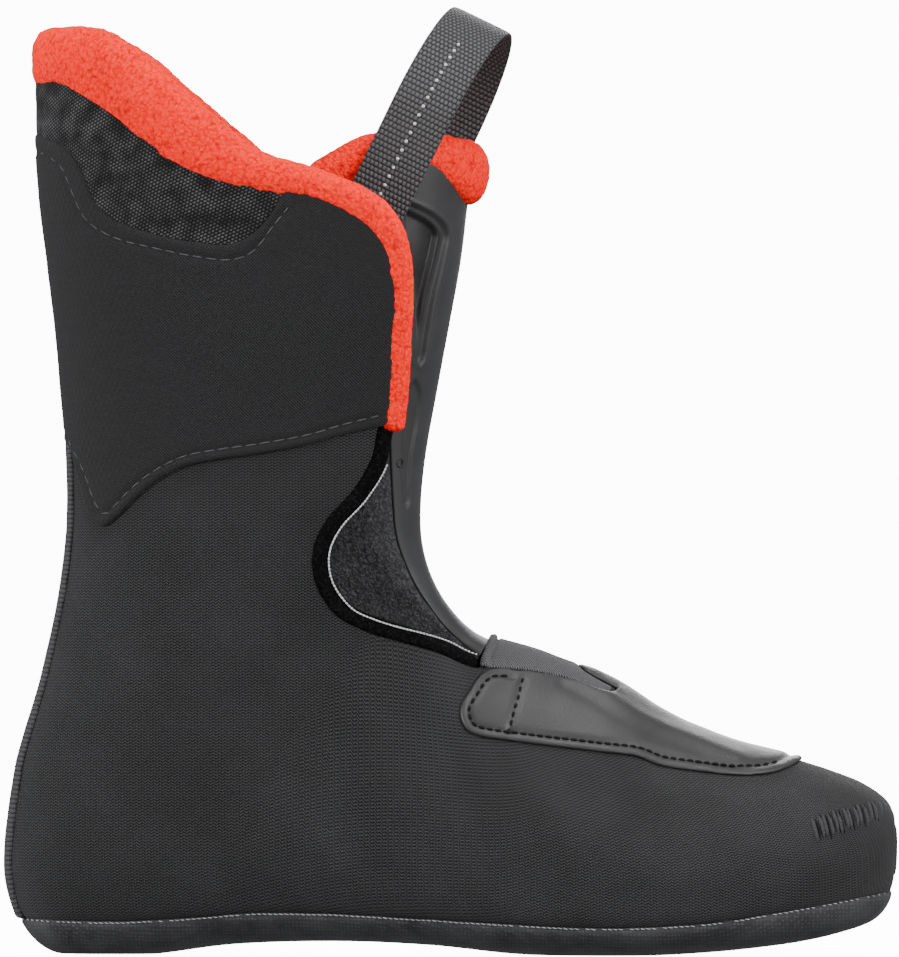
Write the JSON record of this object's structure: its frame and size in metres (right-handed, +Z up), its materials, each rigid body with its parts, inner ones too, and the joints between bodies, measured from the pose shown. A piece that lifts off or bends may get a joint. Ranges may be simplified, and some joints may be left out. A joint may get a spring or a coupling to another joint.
{
  "type": "alpine ski boot liner",
  "caption": "Soft inner boot of an alpine ski boot with padded collar, shielded tongue, folding cuff flaps and webbing pull loop.",
  "frame": {"origin": "centre of the heel's flat patch on the ground", "axes": "+X to the toe, +Y to the inner (medial) side of this right boot, +Z up along the shaft"},
  "size_m": [0.2868, 0.1152, 0.3044],
  "materials": {
    "grey_thread": "matt",
    "black_thread": "matt",
    "shield_plastic": "satin",
    "outsole_rubber": "matt",
    "board": "matt",
    "footbed_foam": "matt",
    "red_fleece": "matt",
    "stretch_shell": "matt",
    "eva_foam": "matt",
    "black_fleece": "matt",
    "counter_plastic": "satin",
    "cuff_fabric": "matt",
    "spacer_mesh": "matt",
    "binding_tape": "matt",
    "heel_tape": "matt",
    "synthetic_leather": "satin",
    "ribbed_elastic": "matt",
    "webbing": "matt"
  },
  "bodies": {
    "liner": {"calf_mesh_back": "spacer_mesh", "collar_back": "red_fleece", "cover_thread": "grey_thread", "cuff_overlay_back": "cuff_fabric", "cuff_thread_back": "grey_thread", "foot_foam_lateral": "eva_foam", "foot_foam_medial": "eva_foam", "foot_shell_lateral": "stretch_shell", "foot_shell_medial": "stretch_shell", "footbed": "footbed_foam", "heel_counter": "counter_plastic", "heel_foam": "eva_foam", "heel_tape": "heel_tape", "instep_cover": "synthetic_leather", "instep_elastic": "ribbed_elastic", "lasting_board": "board", "outsole": "outsole_rubber", "sock_lateral": "black_fleece", "sock_medial": "black_fleece", "throat_binding_lateral": "binding_tape", "throat_binding_medial": "binding_tape", "toe_foam_lateral": "eva_foam", "toe_foam_medial": "eva_foam", "toe_gather_thread": "black_thread"},
    "tongue": {"tongue_collar": "red_fleece", "tongue_foam": "eva_foam", "tongue_lining": "black_fleece", "tongue_shield": "shield_plastic", "tongue_wing_lateral": "black_fleece", "tongue_wing_medial": "black_fleece", "vent_plug": "shield_plastic"},
    "pull_loop": {"pull_loop_webbing": "webbing"},
    "lateral_flap": {"calf_mesh_lateral": "spacer_mesh", "collar_lateral": "red_fleece", "cuff_overlay_lateral": "cuff_fabric", "cuff_thread_lateral": "grey_thread", "flap_binding_lateral": "binding_tape", "flap_foam_lateral": "eva_foam", "flap_lining_lateral": "black_fleece", "flap_shell_lateral": "stretch_shell"},
    "medial_flap": {"calf_mesh_medial": "spacer_mesh", "collar_medial": "red_fleece", "cuff_overlay_medial": "cuff_fabric", "cuff_thread_medial": "grey_thread", "flap_binding_medial": "binding_tape", "flap_foam_medial": "eva_foam", "flap_lining_medial": "black_fleece", "flap_shell_medial": "stretch_shell"}
  },
  "joints": [
    {"name": "tongue_fold", "type": "hinge", "parent": "liner", "child": "tongue", "pos_m": [0.1254, 0, 0.1008], "axis": [0, 1, 0], "range_deg": [0, 36], "stiffness_Nm_per_rad": 0.5},
    {"name": "pull_loop_swing", "type": "hinge", "parent": "tongue", "child": "pull_loop", "pos_m": [0.0892, 0, 0.228], "axis": [0, 1, 0], "range_deg": [-20, 33], "stiffness_Nm_per_rad": 0.05},
    {"name": "lateral_flap_open", "type": "hinge", "parent": "liner", "child": "lateral_flap", "pos_m": [0.04103, -0.059, 0.22468], "axis": [0.3398, 0, -0.9405], "range_deg": [0, 25], "stiffness_Nm_per_rad": 1},
    {"name": "medial_flap_open", "type": "hinge", "parent": "liner", "child": "medial_flap", "pos_m": [0.04103, 0.059, 0.22468], "axis": [-0.3398, 0, 0.9405], "range_deg": [0, 25], "stiffness_Nm_per_rad": 1}
  ]
}
